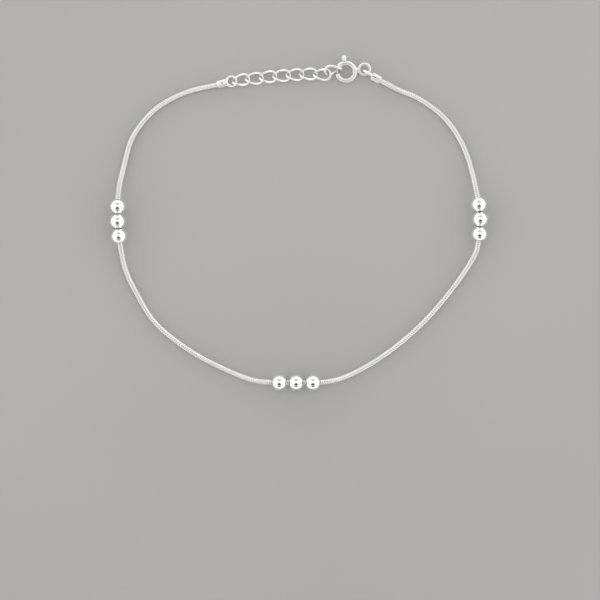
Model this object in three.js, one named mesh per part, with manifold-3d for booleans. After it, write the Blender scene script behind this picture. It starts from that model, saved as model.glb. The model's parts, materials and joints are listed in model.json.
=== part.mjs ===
// Silver anklet, fastened and lying on a surface. A round snake chain runs through three groups of
// three drilled beads. Folded caps hold its two ends. An extender of open curb links hangs on the
// left cap, and its last link is hooked in a spring ring that hangs on the right cap by its bail.
// Millimetres, +Z up, origin on the surface under the middle of the outline.

import * as THREE from "three";
import { mergeVertices } from "three/addons/utils/BufferGeometryUtils.js";
import Module from "manifold-3d";

const wasm = await Module();
wasm.setup();

// Snake chain
const CHAIN_ACROSS = 1.3;
const CHAIN_SIDES = 8;
const CHAIN_STEPS = 80;

// Beads: hollow shells, drilled through and faced off round the hole
const BEAD_DIAMETER = 4;
const BEAD_LENGTH = 3.4;
const BEAD_WALL = 0.35;
const BEAD_HOLE = 1.76;
const BEAD_SIDES = 16;
const BEAD_OUTER_STEPS = 9;
const BEAD_INNER_STEPS = 7;
const BEAD_RISE_LENGTH = 10;

// End caps: a square barrel folded round the chain, and a drop-shaped loop of strip
const CAP_WIDTH = 1.85;
const CAP_CHAMFER = 0.3;
const CAP_BARREL_LENGTH = 2.5;
const CAP_HOLE = 1.58;
const CAP_HOLE_DEPTH = 2.2;
const CAP_SEAM = 0.14;
const CAP_LENGTH = 5.1;
const CAP_LOOP_WIDTH = 2.9;
const CAP_STRIP = 0.46;
const CAP_STRIP_HEIGHT = 0.58;
const CAP_LOOP_RISE = 0.17;
const CAP_NECK_WIDTH = 1.7;
const CAP_LOOP_BEND = 117;
const CAP_LOOP_STEPS = 10;
const CAP_RISE_LENGTH = 9;

// Extender links: oval wire rings, twisted so that they lie flat in a row
const LINK_LENGTH = 4.75;
const LINK_WIDTH = 3.4;
const LINK_WIRE = 0.58;
const LINK_TWIST = 0.46;
const LINK_STEPS = 16;
const WIRE_SIDES = 6;

// Spring ring: a hollow ring with an opening, a slot for the knob and a soldered bail
const RING_DIAMETER = 5.6;
const RING_TUBE = 1.12;
const RING_HOLE = 0.84;
const RING_OPENING = { from: 142, to: 194 };
const RING_STEPS = 34;
const RING_SIDES = 12;
const BAIL_DIAMETER = 3.4;
const BAIL_WIRE = 0.7;
const BAIL_REACH = 4.65;
const BAIL_ANGLE = 7.6;
const BAIL_SOLDER = 1.4;
const BAIL_SOLDER_HEIGHT = 0.8;

// Slide of the spring ring: a curved wire with a knob
const SLIDE_WIRE = 0.6;
const SLIDE_ARC = { from: 82, to: 205 };
const SLIDE_STEPS = 16;
const SLIDE_TRAVEL = 55;
const KNOB_ANGLE = 98;
const KNOB_STEM = 0.4;
const KNOB_HEAD = 1.3;
const KNOB_FOOT_GAP = 0.1;
const KNOB_TOP = 4.2;
const SLOT_WIDTH = 0.56;
const SLOT_MARGIN = 7;

// Outline of the knob, as shares of its height above the ring and of its widest diameter
const KNOB_OUTLINE = [
  { height: 0, width: 0.78 },
  { height: 0.5, width: 1 },
  { height: 0.75, width: 0.88 },
  { height: 0.95, width: 0.5 },
  { height: 1, width: 0 },
];

// Stations of the chain on the surface, from the left cap round to the right cap
const ROUTE = [
  { name: "left_cap_hole", x: -18.25, y: 34.95 },
  { name: "left_cap_mouth", x: -20.3, y: 34.45 },
  { name: "left_brow", x: -28.5, y: 32.43 },
  { name: "left_shoulder", x: -36, y: 28.15 },
  { name: "left_temple", x: -41.4, y: 21.5 },
  { name: "left_cheek", x: -43.5, y: 14.65 },
  { name: "left_above_beads", x: -44.8, y: 8.4 },
  { name: "left_beads", x: -45.15, y: 0.25 },
  { name: "left_below_beads", x: -44.3, y: -6.9 },
  { name: "left_ribs", x: -43.05, y: -12.35 },
  { name: "left_waist", x: -40.55, y: -17.6 },
  { name: "left_hip", x: -35.95, y: -24.9 },
  { name: "left_flank", x: -27.05, y: -32.1 },
  { name: "left_foot", x: -16.8, y: -37.4 },
  { name: "left_heel", x: -11.35, y: -39.4 },
  { name: "bottom_left_of_beads", x: -8.45, y: -39.8 },
  { name: "bottom_beads", x: -0.6, y: -39.97 },
  { name: "bottom_right_of_beads", x: 7.4, y: -39.7 },
  { name: "right_foot", x: 12.6, y: -38.2 },
  { name: "right_flank", x: 21.7, y: -32.95 },
  { name: "right_hip", x: 30.6, y: -25.55 },
  { name: "right_waist", x: 38.25, y: -16.85 },
  { name: "right_ribs", x: 43.15, y: -9.7 },
  { name: "right_below_beads", x: 44.5, y: -6.8 },
  { name: "right_beads", x: 45.35, y: 0.8 },
  { name: "right_above_beads", x: 44.25, y: 8.6 },
  { name: "right_temple", x: 41.6, y: 18.2 },
  { name: "right_shoulder", x: 36.9, y: 25.75 },
  { name: "right_brow", x: 30.1, y: 31 },
  { name: "right_crown", x: 24.8, y: 33.25 },
  { name: "right_cap_mouth", x: 20.49, y: 35.46 },
  { name: "right_cap_hole", x: 18.87, y: 36.32 },
];

// Groups of beads: the station of the middle bead and the spacing along the chain
const BEAD_GROUPS = [
  { name: "left", station: "left_beads", spacing: 3.7 },
  { name: "bottom", station: "bottom_beads", spacing: 4.2 },
  { name: "right", station: "right_beads", spacing: 3.7 },
];

// End caps: stations of the barrel, height of its axis and roll of the loop's plane
const CAPS = [
  { name: "left_end_cap", mouth: "left_cap_mouth", hole: "left_cap_hole", height: 0.925, roll: 0 },
  { name: "right_end_cap", mouth: "right_cap_mouth", hole: "right_cap_hole", height: 1.45, roll: 90 },
];

// Extender links in order from the left cap, each lying on the surface in its own attitude
const LINKS = [
  { x: -14.45, y: 35.6, yaw: 12, pitch: 0, roll: -25 },
  { x: -11.05, y: 36.0, yaw: 4, pitch: 0, roll: -20 },
  { x: -7.65, y: 36.4, yaw: 6, pitch: 0, roll: -20 },
  { x: -4.25, y: 36.7, yaw: 4, pitch: 0, roll: -20 },
  { x: -0.9, y: 36.95, yaw: 3, pitch: 0, roll: -20 },
  { x: 2.45, y: 37.12, yaw: 2, pitch: 0, roll: -20 },
  { x: 5.9, y: 36.99, yaw: -4, pitch: -9, roll: -21 },
  { x: 8.68, y: 38.1, yaw: 6, pitch: 9, roll: 57 },
];

// Spring ring on the surface
const CLASP = { x: 11.88, y: 37.7, pitch: 0, roll: 14 };

const UP = new THREE.Vector3(0, 0, 1);
const radians = THREE.MathUtils.degToRad;

const polishedSilver = new THREE.MeshStandardMaterial({ color: 0xe4e2de, metalness: 1, roughness: 0.12 });
const chainSilver = new THREE.MeshStandardMaterial({ color: 0xd8d6d2, metalness: 1, roughness: 0.28 });
const findingSilver = new THREE.MeshStandardMaterial({ color: 0xdddbd6, metalness: 1, roughness: 0.2 });

// Closed solid from a three.js geometry
function solidFrom(geometry) {
  geometry.deleteAttribute("normal");
  geometry.deleteAttribute("uv");
  const merged = mergeVertices(geometry);
  return new wasm.Manifold(
    new wasm.Mesh({
      numProp: 3,
      vertProperties: new Float32Array(merged.attributes.position.array),
      triVerts: new Uint32Array(merged.index.array),
    }),
  );
}

// three.js geometry from a closed solid
function geometryFrom(solid) {
  const { vertProperties, triVerts } = solid.getMesh();
  const geometry = new THREE.BufferGeometry();
  geometry.setAttribute("position", new THREE.BufferAttribute(vertProperties, 3));
  geometry.setIndex(new THREE.BufferAttribute(triVerts, 1));
  return geometry;
}

// Regular polygon with a flat side at the bottom
function roundSection(radius, sides) {
  const section = new THREE.Shape();
  const corners = Array.from({ length: sides }, (_, i) => ((i + 0.5) / sides) * 2 * Math.PI);
  section.setFromPoints(corners.map((a) => new THREE.Vector2(radius * Math.cos(a), radius * Math.sin(a))));
  return section;
}

function rectangle(width, height) {
  const section = new THREE.Shape();
  section.moveTo(-width / 2, -height / 2);
  section.lineTo(width / 2, -height / 2);
  section.lineTo(width / 2, height / 2);
  section.lineTo(-width / 2, height / 2);
  return section;
}

// Solid bar of a section along a path
function sweep(section, path, steps) {
  return new THREE.ExtrudeGeometry(section, { extrudePath: path, steps, bevelEnabled: false });
}

// Arc of a circle about the local Z axis, with angles in degrees
class RingArc extends THREE.Curve {
  constructor(radius, from, to) {
    super();
    Object.assign(this, { radius, from, to });
  }

  getPoint(t, target = new THREE.Vector3()) {
    const angle = radians(THREE.MathUtils.lerp(this.from, this.to, t));
    return target.set(this.radius * Math.cos(angle), this.radius * Math.sin(angle), 0);
  }
}

// Middle line of an extender link: an oval whose two ends are twisted against each other
class LinkLine extends THREE.Curve {
  getPoint(t, target = new THREE.Vector3()) {
    const angle = 2 * Math.PI * t;
    const halfLength = (LINK_LENGTH - LINK_WIRE) / 2;
    const halfWidth = (LINK_WIDTH - LINK_WIRE) / 2;
    const lift = LINK_TWIST * Math.sin(2 * angle);
    return target.set(halfLength * Math.cos(angle), halfWidth * Math.sin(angle), lift);
  }
}

// Middle line of the chain: the stations joined smoothly on the surface, lifted to the axis of
// each group of beads and of each cap, and kept upright so that a flat side lies underneath
class ChainLine extends THREE.Curve {
  constructor() {
    super();
    const points = ROUTE.map(({ x, y }) => new THREE.Vector3(x, y, 0));
    this.plan = new THREE.CatmullRomCurve3(points, false, "centripetal");
    this.plan.arcLengthDivisions = 40 * (ROUTE.length - 1);
    this.length = this.plan.getLength();
    this.arcLengthDivisions = this.plan.arcLengthDivisions;
    const beadLifts = BEAD_GROUPS.map(({ station, spacing }) => ({
      along: this.alongAt(station),
      height: BEAD_DIAMETER / 2,
      hold: spacing + BEAD_DIAMETER / 2,
      rise: BEAD_RISE_LENGTH,
    }));
    const capLifts = CAPS.map(({ hole, height }) => ({
      along: this.alongAt(hole),
      height,
      hold: CAP_BARREL_LENGTH,
      rise: CAP_RISE_LENGTH,
    }));
    this.lifts = [...beadLifts, ...capLifts];
  }

  // Distance along the plan to a station
  alongAt(name) {
    const lengths = this.plan.getLengths();
    const station = ROUTE.findIndex((row) => row.name === name);
    return lengths[Math.round((station / (ROUTE.length - 1)) * (lengths.length - 1))];
  }

  heightAt(along) {
    const lying = CHAIN_ACROSS / 2;
    const raise = (total, { along: middle, height, hold, rise }) => {
      const away = (Math.abs(along - middle) - hold) / rise;
      return total + (height - lying) * (1 - THREE.MathUtils.smootherstep(away, 0, 1));
    };
    return this.lifts.reduce(raise, lying);
  }

  pointAlong(along) {
    const point = this.plan.getPointAt(along / this.length);
    return point.setZ(this.heightAt(along));
  }

  getPoint(t, target = new THREE.Vector3()) {
    return target.copy(this.pointAlong(THREE.MathUtils.clamp(t, 0, 1) * this.length));
  }

  computeFrenetFrames(segments) {
    const frames = { tangents: [], normals: [], binormals: [] };
    for (let i = 0; i <= segments; i += 1) {
      const tangent = this.getTangentAt(i / segments);
      const side = new THREE.Vector3().crossVectors(UP, tangent).normalize();
      frames.tangents.push(tangent);
      frames.normals.push(side);
      frames.binormals.push(new THREE.Vector3().crossVectors(tangent, side));
    }
    return frames;
  }
}

const chainLine = new ChainLine();

function snakeChain() {
  const cornerRadius = CHAIN_ACROSS / 2 / Math.cos(Math.PI / CHAIN_SIDES);
  const geometry = sweep(roundSection(cornerRadius, CHAIN_SIDES), chainLine, CHAIN_STEPS);
  const mesh = new THREE.Mesh(geometry, chainSilver);
  mesh.name = "snake_chain";
  return mesh;
}

// Arc of a bead's wall between its two ends, as profile points from one end to the other
function beadArc(radius, endRadius, steps) {
  const start = Math.asin(endRadius / radius);
  const point = (i) => {
    const angle = start + ((Math.PI - 2 * start) * i) / steps;
    return new THREE.Vector2(radius * Math.sin(angle), -radius * Math.cos(angle));
  };
  return Array.from({ length: steps + 1 }, (_, i) => point(i));
}

function beadGeometry() {
  const radius = BEAD_DIAMETER / 2;
  const faceRadius = Math.sqrt(radius ** 2 - (BEAD_LENGTH / 2) ** 2);
  const outside = beadArc(radius, faceRadius, BEAD_OUTER_STEPS);
  const inside = beadArc(radius - BEAD_WALL, BEAD_HOLE / 2, BEAD_INNER_STEPS).reverse();
  const mouth = (end) => new THREE.Vector2(BEAD_HOLE / 2, (end * BEAD_LENGTH) / 2);
  const profile = [...outside, mouth(1), ...inside, mouth(-1), outside[0].clone()];
  return new THREE.LatheGeometry(profile, BEAD_SIDES);
}

function beadGroup({ name, station, spacing }) {
  return [-1, 0, 1].map((place, i) => {
    const along = chainLine.alongAt(station) + place * spacing;
    const bead = new THREE.Mesh(beadGeometry(), polishedSilver);
    bead.name = `${name}_bead_${i + 1}`;
    bead.position.copy(chainLine.pointAlong(along));
    const ahead = chainLine.pointAlong(along + BEAD_DIAMETER / 2);
    const behind = chainLine.pointAlong(along - BEAD_DIAMETER / 2);
    const hole = ahead.sub(behind).normalize();
    const side = new THREE.Vector3().crossVectors(hole, UP).normalize();
    const top = new THREE.Vector3().crossVectors(side, hole);
    bead.setRotationFromMatrix(new THREE.Matrix4().makeBasis(side, hole, top));
    return bead;
  });
}

// Drop outline round the axis of a cap: a round end and straight sides that run in to a neck
function dropOutline(endX, halfWidth, neckX, neckHalfWidth) {
  const outline = new THREE.Shape();
  const middleX = endX - halfWidth;
  outline.moveTo(neckX, -neckHalfWidth);
  outline.absarc(middleX, 0, halfWidth, -radians(CAP_LOOP_BEND), radians(CAP_LOOP_BEND), false);
  outline.lineTo(neckX, neckHalfWidth);
  outline.closePath();
  return outline;
}

// End cap along +X: the chain enters at x = 0, and the loop at the far end lies parallel to the
// XY plane, above the axis
function capGeometry() {
  const half = CAP_WIDTH / 2;
  const flat = half - CAP_CHAMFER;
  const section = new THREE.Shape();
  const corners = [[half, flat], [flat, half], [-flat, half], [-half, flat]];
  const mirrored = corners.map(([y, z]) => [-y, -z]);
  section.setFromPoints([...corners, ...mirrored].map(([y, z]) => new THREE.Vector2(y, z)));
  const along = new THREE.Matrix4().makeBasis(
    new THREE.Vector3(0, 1, 0),
    new THREE.Vector3(0, 0, 1),
    new THREE.Vector3(1, 0, 0),
  );
  const barrel = new THREE.ExtrudeGeometry(section, { depth: CAP_BARREL_LENGTH, bevelEnabled: false });
  barrel.applyMatrix4(along);

  const hole = new THREE.CylinderGeometry(CAP_HOLE / 2, CAP_HOLE / 2, 2 * CAP_HOLE_DEPTH, RING_SIDES);
  hole.rotateZ(Math.PI / 2);
  const seam = new THREE.BoxGeometry(2 * CAP_HOLE_DEPTH, CAP_WIDTH, CAP_SEAM);
  seam.translate(0, CAP_WIDTH / 2, 0);

  const neckX = CAP_HOLE_DEPTH;
  const loop = dropOutline(CAP_LENGTH, CAP_LOOP_WIDTH / 2, neckX, CAP_NECK_WIDTH / 2);
  const holeNeckX = CAP_BARREL_LENGTH + CAP_STRIP / 3;
  const holeHalfWidth = CAP_LOOP_WIDTH / 2 - CAP_STRIP;
  loop.holes.push(dropOutline(CAP_LENGTH - CAP_STRIP, holeHalfWidth, holeNeckX, CAP_STRIP / 2));
  const strip = new THREE.ExtrudeGeometry(loop, {
    depth: CAP_STRIP_HEIGHT,
    curveSegments: CAP_LOOP_STEPS,
    bevelEnabled: false,
  });
  strip.translate(0, 0, CAP_LOOP_RISE - CAP_STRIP_HEIGHT / 2);

  const folded = solidFrom(barrel).add(solidFrom(strip));
  return geometryFrom(folded.subtract(solidFrom(hole)).subtract(solidFrom(seam)));
}

function endCap({ name, mouth, hole, height, roll }) {
  const from = ROUTE.find((row) => row.name === mouth);
  const to = ROUTE.find((row) => row.name === hole);
  const cap = new THREE.Mesh(capGeometry(), findingSilver);
  cap.name = name;
  cap.position.set(from.x, from.y, height);
  cap.rotation.set(radians(roll), 0, Math.atan2(to.y - from.y, to.x - from.x), "ZYX");
  return cap;
}

// Ring of wire along a closed middle line
function closedWire(line, wire, sides, steps) {
  const geometry = new THREE.TorusGeometry(1, wire / 2, sides, steps);
  const frames = line.computeFrenetFrames(steps, true);
  const position = geometry.attributes.position;
  for (let j = 0; j <= sides; j += 1) {
    const around = (j / sides) * 2 * Math.PI;
    for (let i = 0; i <= steps; i += 1) {
      const point = line.getPointAt((i % steps) / steps);
      point.addScaledVector(frames.normals[i % steps], (wire / 2) * Math.cos(around));
      point.addScaledVector(frames.binormals[i % steps], (-wire / 2) * Math.sin(around));
      position.setXYZ(j * (steps + 1) + i, point.x, point.y, point.z);
    }
  }
  return geometry;
}

// Lower or raise an object so that its lowest point lies on the surface
function layDown(object) {
  object.position.z -= new THREE.Box3().setFromObject(object, true).min.z;
  return object;
}

function extenderLink({ x, y, yaw, pitch, roll }, i) {
  const geometry = closedWire(new LinkLine(), LINK_WIRE, WIRE_SIDES, LINK_STEPS);
  const link = new THREE.Mesh(geometry, findingSilver);
  link.name = `extender_link_${i + 1}`;
  link.position.set(x, y, 0);
  link.rotation.set(radians(roll), radians(pitch), radians(yaw), "ZYX");
  return layDown(link);
}

const ringRadius = (RING_DIAMETER - RING_TUBE) / 2;

// Turn a piece that was built along +Y out of the ring's middle to an angle round the ring
function radialTurn(geometry, angle) {
  geometry.rotateZ(radians(angle) - Math.PI / 2);
  return geometry;
}

function claspRing() {
  const whole = 360 + RING_OPENING.from;
  const overrun = (RING_OPENING.to - RING_OPENING.from) / 4;
  const tubeArc = new RingArc(ringRadius, RING_OPENING.to, whole);
  const holeArc = new RingArc(ringRadius, RING_OPENING.to - overrun, whole + overrun);
  const tube = sweep(roundSection(RING_TUBE / 2, RING_SIDES), tubeArc, RING_STEPS);
  const hollow = sweep(roundSection(RING_HOLE / 2, RING_SIDES - 2), holeArc, RING_STEPS);

  const bailRadius = (BAIL_DIAMETER - BAIL_WIRE) / 2;
  const bail = new THREE.TorusGeometry(bailRadius, BAIL_WIRE / 2, WIRE_SIDES, LINK_STEPS);
  bail.translate(0, BAIL_REACH, 0);
  const solderLength = BAIL_REACH - bailRadius - ringRadius;
  const solder = new THREE.CylinderGeometry(BAIL_SOLDER / 2, BAIL_SOLDER / 2, solderLength, WIRE_SIDES + 2);
  solder.scale(1, 1, BAIL_SOLDER_HEIGHT / BAIL_SOLDER);
  solder.translate(0, ringRadius + solderLength / 2, 0);

  const slotFrom = KNOB_ANGLE - SLIDE_TRAVEL - SLOT_MARGIN;
  const slotArc = new RingArc(RING_DIAMETER / 2, slotFrom, KNOB_ANGLE + SLOT_MARGIN);
  const slot = sweep(rectangle(RING_TUBE, SLOT_WIDTH), slotArc, SLIDE_STEPS);

  const outside = solidFrom(tube)
    .add(solidFrom(radialTurn(bail, BAIL_ANGLE)))
    .add(solidFrom(radialTurn(solder, BAIL_ANGLE)));
  const ring = new THREE.Mesh(
    geometryFrom(outside.subtract(solidFrom(hollow)).subtract(solidFrom(slot))),
    findingSilver,
  );
  ring.name = "clasp_ring";
  return ring;
}

function claspSlide() {
  const arc = new RingArc(ringRadius, SLIDE_ARC.from, SLIDE_ARC.to);
  const wire = sweep(roundSection(SLIDE_WIRE / 2, CHAIN_SIDES), arc, SLIDE_STEPS);
  const foot = RING_DIAMETER / 2 + KNOB_FOOT_GAP;
  const stem = [
    new THREE.Vector2(0, ringRadius),
    new THREE.Vector2(KNOB_STEM / 2, ringRadius),
    new THREE.Vector2(KNOB_STEM / 2, foot),
  ];
  const head = KNOB_OUTLINE.map(({ height, width }) => {
    return new THREE.Vector2((width * KNOB_HEAD) / 2, foot + height * (KNOB_TOP - foot));
  });
  const knob = new THREE.LatheGeometry([...stem, ...head], RING_SIDES);
  const slide = new THREE.Mesh(
    geometryFrom(solidFrom(wire).add(solidFrom(radialTurn(knob, KNOB_ANGLE)))),
    findingSilver,
  );
  slide.name = "clasp_slide";
  return slide;
}

function springRing() {
  const clasp = new THREE.Group();
  clasp.add(claspRing(), claspSlide());
  clasp.position.set(CLASP.x, CLASP.y, 0);
  clasp.rotation.set(radians(CLASP.roll), radians(CLASP.pitch), 0, "ZYX");
  return layDown(clasp);
}

const anklet = new THREE.Group();
anklet.name = "anklet";
anklet.add(snakeChain());
anklet.add(...BEAD_GROUPS.flatMap(beadGroup));
anklet.add(...CAPS.map(endCap));
anklet.add(...LINKS.map(extenderLink));
anklet.add(springRing());

export default anklet;
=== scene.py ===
"""Silver anklet, fastened and lying on a pale surface, dressed for a studio picture.

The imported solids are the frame. Each one is modelled again here in its fine form: the nested hoops
of the snake chain, rounded bead rims, smooth wire, folded caps and the spring ring. Lengths are in
millimetres while a piece is made, and its finished mesh is scaled to metres.
"""

import json
import logging
import math
from collections.abc import Callable, Mapping, Sequence
from dataclasses import dataclass, field
from enum import Enum

import bmesh
import bpy
import numpy as np
from mathutils import Euler, Matrix, Vector


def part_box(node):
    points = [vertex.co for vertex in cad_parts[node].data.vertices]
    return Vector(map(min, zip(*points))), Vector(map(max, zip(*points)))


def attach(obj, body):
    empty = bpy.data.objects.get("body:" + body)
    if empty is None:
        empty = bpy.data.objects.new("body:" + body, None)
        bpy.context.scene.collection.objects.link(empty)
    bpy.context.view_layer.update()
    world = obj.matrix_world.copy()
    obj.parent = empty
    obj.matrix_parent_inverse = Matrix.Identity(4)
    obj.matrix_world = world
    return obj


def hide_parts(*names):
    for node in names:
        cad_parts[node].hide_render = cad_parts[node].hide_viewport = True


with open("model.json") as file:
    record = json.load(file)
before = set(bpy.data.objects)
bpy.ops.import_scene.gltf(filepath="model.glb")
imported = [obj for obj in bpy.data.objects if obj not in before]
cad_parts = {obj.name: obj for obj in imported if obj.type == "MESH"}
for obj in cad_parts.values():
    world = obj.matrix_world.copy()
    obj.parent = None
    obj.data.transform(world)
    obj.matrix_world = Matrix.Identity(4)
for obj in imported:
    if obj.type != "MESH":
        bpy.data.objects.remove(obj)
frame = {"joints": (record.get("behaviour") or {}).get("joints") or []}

log = logging.getLogger("anklet")

MM = 0.001
PAINTED_SHADE_ATTRIBUTE = "painted_shade_depth"

Colour = tuple[float, float, float, float]
Edges = tuple[float, float]


class Body(Enum):
    """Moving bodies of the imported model."""

    ANKLET = "anklet"
    SLIDE = "clasp_slide"


class Slot(Enum):
    """Material slots of the record."""

    POLISHED = "polished_silver"
    CHAIN = "chain_silver"
    FINDING = "finding_silver"


class Join(Enum):
    """Ways to combine two closed meshes."""

    UNION = "UNION"
    CUT = "DIFFERENCE"


class Value:
    """Number on a node socket that adds Math nodes when it is used in an expression."""

    def __init__(self, graph: "Graph", socket: bpy.types.NodeSocket) -> None:
        """Wrap an output socket of a graph."""
        self.graph = graph
        self.socket = socket

    def math(self, operation: str, *operands: "Value | float") -> "Value":
        """Add one Math node.

        Args:
            operation: Blender's name for the operation.
            operands: values or numbers, in the node's order.

        Returns:
            The node's result.
        """
        return self.graph.value("ShaderNodeMath", {"operation": operation}, dict(enumerate(operands)))

    def __add__(self, other: "Value | float") -> "Value":
        """Sum."""
        return self.math("ADD", self, other)

    def __radd__(self, other: float) -> "Value":
        """Sum, with the number first."""
        return self.math("ADD", other, self)

    def __sub__(self, other: "Value | float") -> "Value":
        """Difference."""
        return self.math("SUBTRACT", self, other)

    def __rsub__(self, other: float) -> "Value":
        """Difference, with the number first."""
        return self.math("SUBTRACT", other, self)

    def __mul__(self, other: "Value | float") -> "Value":
        """Product."""
        return self.math("MULTIPLY", self, other)

    def __rmul__(self, other: float) -> "Value":
        """Product, with the number first."""
        return self.math("MULTIPLY", other, self)

    def __truediv__(self, other: "Value | float") -> "Value":
        """Quotient."""
        return self.math("DIVIDE", self, other)

    def __pow__(self, other: "Value | float") -> "Value":
        """Power."""
        return self.math("POWER", self, other)

    def step(self, low: float, high: float) -> "Value":
        """Rise smoothly from 0 at low to 1 at high."""
        sockets = {"Value": self, "From Min": low, "From Max": high}
        return self.graph.value("ShaderNodeMapRange", {"interpolation_type": "SMOOTHSTEP"}, sockets)


Feed = Value | bpy.types.NodeSocket | float | int | str | tuple | bpy.types.Material


class Graph:
    """Node tree that is written as expressions."""

    MIX_COLOURS = (6, 7)
    MIX_RESULT = 2

    def __init__(self, tree: bpy.types.NodeTree) -> None:
        """Take over a tree and empty it."""
        tree.nodes.clear()
        self.tree = tree

    def node(
        self,
        kind: str,
        settings: Mapping[str, object] | None = None,
        sockets: Mapping[str | int, Feed] | None = None,
    ) -> bpy.types.Node:
        """Add a node.

        Args:
            kind: Blender's type of the node.
            settings: properties of the node, which are set first.
            sockets: values or links of its inputs, by name or index.

        Returns:
            The new node.
        """
        made = self.tree.nodes.new(kind)
        for name, setting in (settings or {}).items():
            setattr(made, name, setting)
        for key, feed in (sockets or {}).items():
            self.feed(made.inputs[key], feed)
        return made

    def feed(self, socket: bpy.types.NodeSocket, feed: Feed) -> None:
        """Link a socket to a source, or set its value.

        Args:
            socket: input of a node.
            feed: source or value that it takes.
        """
        source = feed.socket if isinstance(feed, Value) else feed
        if isinstance(source, bpy.types.NodeSocket):
            self.tree.links.new(source, socket)
        else:
            socket.default_value = source

    def value(
        self,
        kind: str,
        settings: Mapping[str, object] | None = None,
        sockets: Mapping[str | int, Feed] | None = None,
        output: str | int = 0,
    ) -> Value:
        """Add a node and wrap one of its outputs.

        Args:
            kind: Blender's type of the node.
            settings: properties of the node.
            sockets: values or links of its inputs.
            output: name or index of the output.

        Returns:
            The output, ready for expressions.
        """
        return Value(self, self.node(kind, settings, sockets).outputs[output])

    def parts(self, vector: Feed) -> tuple[Value, Value, Value]:
        """Split a vector.

        Args:
            vector: source of the vector.

        Returns:
            Its x, y and z.
        """
        split = self.node("ShaderNodeSeparateXYZ", None, {0: vector})
        return tuple(Value(self, socket) for socket in split.outputs)

    def blend(self, share: Value, first: Feed, second: Feed) -> Value:
        """Mix two colours.

        Args:
            share: 0 for the first colour, 1 for the second.
            first: colour or source of one.
            second: colour or source of one.

        Returns:
            The mixed colour.
        """
        low, high = self.MIX_COLOURS
        sockets = {0: share, low: first, high: second}
        return self.value("ShaderNodeMix", {"data_type": "RGBA"}, sockets, self.MIX_RESULT)


class MaterialGraph(Graph):
    """Shader tree of a new material, on the piece's own coordinates."""

    NOISE_MIDDLE = 0.5

    def __init__(self, name: str) -> None:
        """Start an empty material.

        Args:
            name: name of the material.
        """
        self.material = bpy.data.materials.new(name)
        self.material.use_nodes = True
        super().__init__(self.material.node_tree)
        self.places = self.node("ShaderNodeTexCoord").outputs["Object"]

    def noise(self, per_mm: float, octaves: float = 2.0, stretch: Sequence[float] = (1, 1, 1)) -> Value:
        """Noise over the surface.

        Args:
            per_mm: waves in a millimetre.
            octaves: number of finer layers.
            stretch: factor along each axis.

        Returns:
            The noise, about 0 to 1.
        """
        scale = tuple(factor / MM for factor in stretch)
        fitted = self.value("ShaderNodeMapping", None, {"Vector": self.places, "Scale": scale})
        sockets = {"Vector": fitted, "Scale": per_mm, "Detail": octaves}
        return self.value("ShaderNodeTexNoise", None, sockets)

    def bump(self, relief: Value, depth: float, strength: float = 1.0) -> Value:
        """Bend the surface normal by a relief whose depth is in millimetres."""
        sockets = {"Strength": strength, "Distance": depth * MM, "Height": relief}
        return self.value("ShaderNodeBump", None, sockets)

    def finish(self, sockets: Mapping[str, Feed]) -> bpy.types.Material:
        """End the tree with a surface shader.

        Args:
            sockets: values or links of the shader's inputs.

        Returns:
            The material.
        """
        shader = self.node("ShaderNodeBsdfPrincipled", None, sockets)
        self.node("ShaderNodeOutputMaterial", None, {"Surface": shader.outputs[0]})
        return self.material


def add_object(name: str, data: bpy.types.ID) -> bpy.types.Object:
    """Make an object in the scene.

    Args:
        name: name of the object.
        data: its mesh or camera.

    Returns:
        The object, at the origin.
    """
    made = bpy.data.objects.new(name, data)
    bpy.context.scene.collection.objects.link(made)
    return made


def apply_modifiers(holder: bpy.types.Object) -> bpy.types.Mesh:
    """Apply an object's modifiers.

    Args:
        holder: object with modifiers, which is removed.

    Returns:
        A plain mesh of the result.
    """
    evaluated = holder.evaluated_get(bpy.context.evaluated_depsgraph_get())
    result = bpy.data.meshes.new_from_object(evaluated)
    holder.modifiers.clear()
    bpy.data.objects.remove(holder)
    return result


class GeometryGraph(Graph):
    """Geometry Nodes tree with named inputs for its sizes."""

    def __init__(self, name: str) -> None:
        """Start an empty tree that takes and gives geometry.

        Args:
            name: name of the tree.
        """
        super().__init__(bpy.data.node_groups.new(name, "GeometryNodeTree"))
        self.inputs: dict[str, float | int] = {}
        for way in ("OUTPUT", "INPUT"):
            self.tree.interface.new_socket(name="Geometry", in_out=way, socket_type="NodeSocketGeometry")
        self.source = self.node("NodeGroupInput")

    def numbers(self, sizes: Mapping[str, float | int]) -> list[Value]:
        """Add named inputs for sizes and counts.

        Args:
            sizes: numbers by name, which the tree is run with.

        Returns:
            Their values, in the same order.
        """
        for name, number in sizes.items():
            kind = "NodeSocketInt" if isinstance(number, int) else "NodeSocketFloat"
            made = self.tree.interface.new_socket(name=name, in_out="INPUT", socket_type=kind)
            self.inputs[made.identifier] = number
        return [Value(self, self.source.outputs[name]) for name in sizes]

    def finish(self, geometry: Feed, material: bpy.types.Material) -> None:
        """End the tree: realize what repeats, shade it smooth and give it its material.

        Args:
            geometry: source of the geometry.
            material: its finish.
        """
        whole = self.value("GeometryNodeRealizeInstances", None, {"Geometry": geometry})
        smooth = self.value("GeometryNodeSetShadeSmooth", None, {"Geometry": whole})
        dressed = self.value("GeometryNodeSetMaterial", None, {"Geometry": smooth, "Material": material})
        self.node("NodeGroupOutput", None, {"Geometry": dressed})

    def bake(self, host: bpy.types.Mesh) -> bpy.types.Mesh:
        """Run the tree on a mesh.

        Args:
            host: mesh that the tree starts from.

        Returns:
            A plain mesh of the result.
        """
        carrier = add_object(f"{self.tree.name}_carrier", host)
        modifier = carrier.modifiers.new(self.tree.name, "NODES")
        modifier.node_group = self.tree
        for identifier, number in self.inputs.items():
            modifier[identifier] = number
        return apply_modifiers(carrier)


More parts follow.
